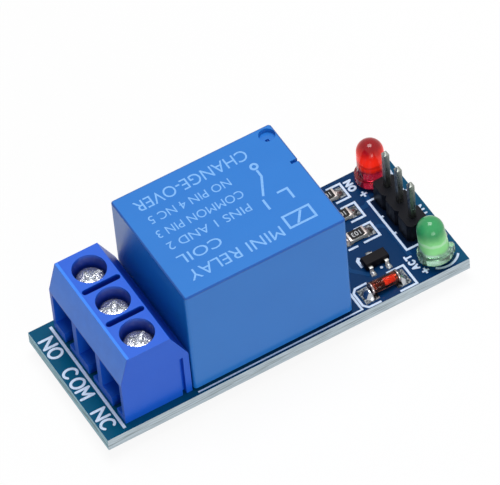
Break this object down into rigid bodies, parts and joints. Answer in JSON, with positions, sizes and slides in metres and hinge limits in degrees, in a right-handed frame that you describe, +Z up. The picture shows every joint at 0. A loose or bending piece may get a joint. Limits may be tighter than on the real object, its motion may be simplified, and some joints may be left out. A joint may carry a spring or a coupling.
{
  "type": "relay module board",
  "caption": "Single-channel relay module on a narrow board, with a screw terminal, a sealed relay, a pin header and two lamps.",
  "frame": {"origin": "middle of the board's outline, in the plane of the pin tips that the module stands on", "axes": "+X along the board from the screw terminal to the pin header, +Y across it to the power lamp's side, +Z up from the board's parts side"},
  "size_m": [0.044, 0.017, 0.0184],
  "materials": {
    "board_mask": "glossy solder mask over glass laminate",
    "terminal_blue": "satin moulded blue",
    "tinned_brass": "tinned strip",
    "zinc_screw": "bright zinc plate",
    "zinc_cage": "zinc plate",
    "case_blue": "smooth moulded blue",
    "base_dark": "moulded dark grey",
    "bobbin_black": "moulded black",
    "copper_wire": "enamelled copper",
    "soft_iron": "plated soft iron",
    "contact_copper": "copper alloy strip",
    "header_black": "moulded black",
    "pin_metal": "tinned square pin",
    "lens_red": "translucent red resin",
    "lens_green": "milky green resin",
    "lead_metal": "tinned lead frame",
    "chip_black": "black glaze on ceramic",
    "cap_metal": "tinned end cap",
    "body_black": "moulded epoxy",
    "diode_glass": "orange tinted glass",
    "solder_metal": "solder"
  },
  "bodies": {
    "module": {"diode_caps": "cap_metal", "diode_die": "contact_copper", "diode_glass": "diode_glass", "diode_solder": "solder_metal", "header_body": "header_black", "header_pin_1": "pin_metal", "header_pin_2": "pin_metal", "header_pin_3": "pin_metal", "header_solder": "solder_metal", "led_solder": "solder_metal", "pcb": "board_mask", "power_led_anode": "lead_metal", "power_led_cathode": "lead_metal", "power_led_lens": "lens_red", "relay_base": "base_dark", "relay_bobbin": "bobbin_black", "relay_coil": "copper_wire", "relay_coil_pins": "pin_metal", "relay_com_terminal": "contact_copper", "relay_core": "soft_iron", "relay_cover": "case_blue", "relay_hinge_leaf": "contact_copper", "relay_nc_contact": "contact_copper", "relay_no_contact": "contact_copper", "relay_solder": "solder_metal", "relay_yoke": "soft_iron", "resistor_1": "chip_black", "resistor_1_caps": "cap_metal", "resistor_2": "chip_black", "resistor_2_caps": "cap_metal", "resistor_3": "chip_black", "resistor_3_caps": "cap_metal", "resistor_solder": "solder_metal", "switch_led_anode": "lead_metal", "switch_led_cathode": "lead_metal", "switch_led_lens": "lens_green", "terminal_contact_1": "tinned_brass", "terminal_contact_2": "tinned_brass", "terminal_contact_3": "tinned_brass", "terminal_housing": "terminal_blue", "terminal_solder": "solder_metal", "transistor_body": "body_black", "transistor_leads": "cap_metal", "transistor_solder": "solder_metal"},
    "screw_1": {"terminal_screw_1": "zinc_screw"},
    "screw_2": {"terminal_screw_2": "zinc_screw"},
    "screw_3": {"terminal_screw_3": "zinc_screw"},
    "cage_1": {"terminal_cage_1": "zinc_cage"},
    "cage_2": {"terminal_cage_2": "zinc_cage"},
    "cage_3": {"terminal_cage_3": "zinc_cage"},
    "armature": {"relay_armature": "soft_iron", "relay_contact_blade": "contact_copper"}
  },
  "joints": [
    {"name": "screw_1_turn", "type": "hinge", "parent": "module", "child": "screw_1", "pos_m": [-0.01561, 0.005, 0.011], "axis": [0, 0, 1], "range_deg": [0, 1369]},
    {"name": "cage_1_rise", "type": "slide", "parent": "module", "child": "cage_1", "axis": [0, 0, 1], "range_m": [-0.0019, 0]},
    {"name": "screw_2_turn", "type": "hinge", "parent": "module", "child": "screw_2", "pos_m": [-0.01561, 0, 0.011], "axis": [0, 0, 1], "range_deg": [0, 1369]},
    {"name": "cage_2_rise", "type": "slide", "parent": "module", "child": "cage_2", "axis": [0, 0, 1], "range_m": [-0.0019, 0]},
    {"name": "screw_3_turn", "type": "hinge", "parent": "module", "child": "screw_3", "pos_m": [-0.01561, -0.005, 0.011], "axis": [0, 0, 1], "range_deg": [0, 1369]},
    {"name": "cage_3_rise", "type": "slide", "parent": "module", "child": "cage_3", "axis": [0, 0, 1], "range_m": [-0.0019, 0]},
    {"name": "armature_tip", "type": "hinge", "parent": "module", "child": "armature", "pos_m": [0.00436, -0.0001, 0.01378], "axis": [0, 1, 0], "range_deg": [-3.47, 0], "stiffness_Nm_per_rad": 0.002, "springref_deg": 5.73}
  ],
  "couplings": [
    {"joint": "screw_1_turn", "follows": "cage_1_rise", "rad_per_m": -12566},
    {"joint": "screw_2_turn", "follows": "cage_2_rise", "rad_per_m": -12566},
    {"joint": "screw_3_turn", "follows": "cage_3_rise", "rad_per_m": -12566}
  ]
}
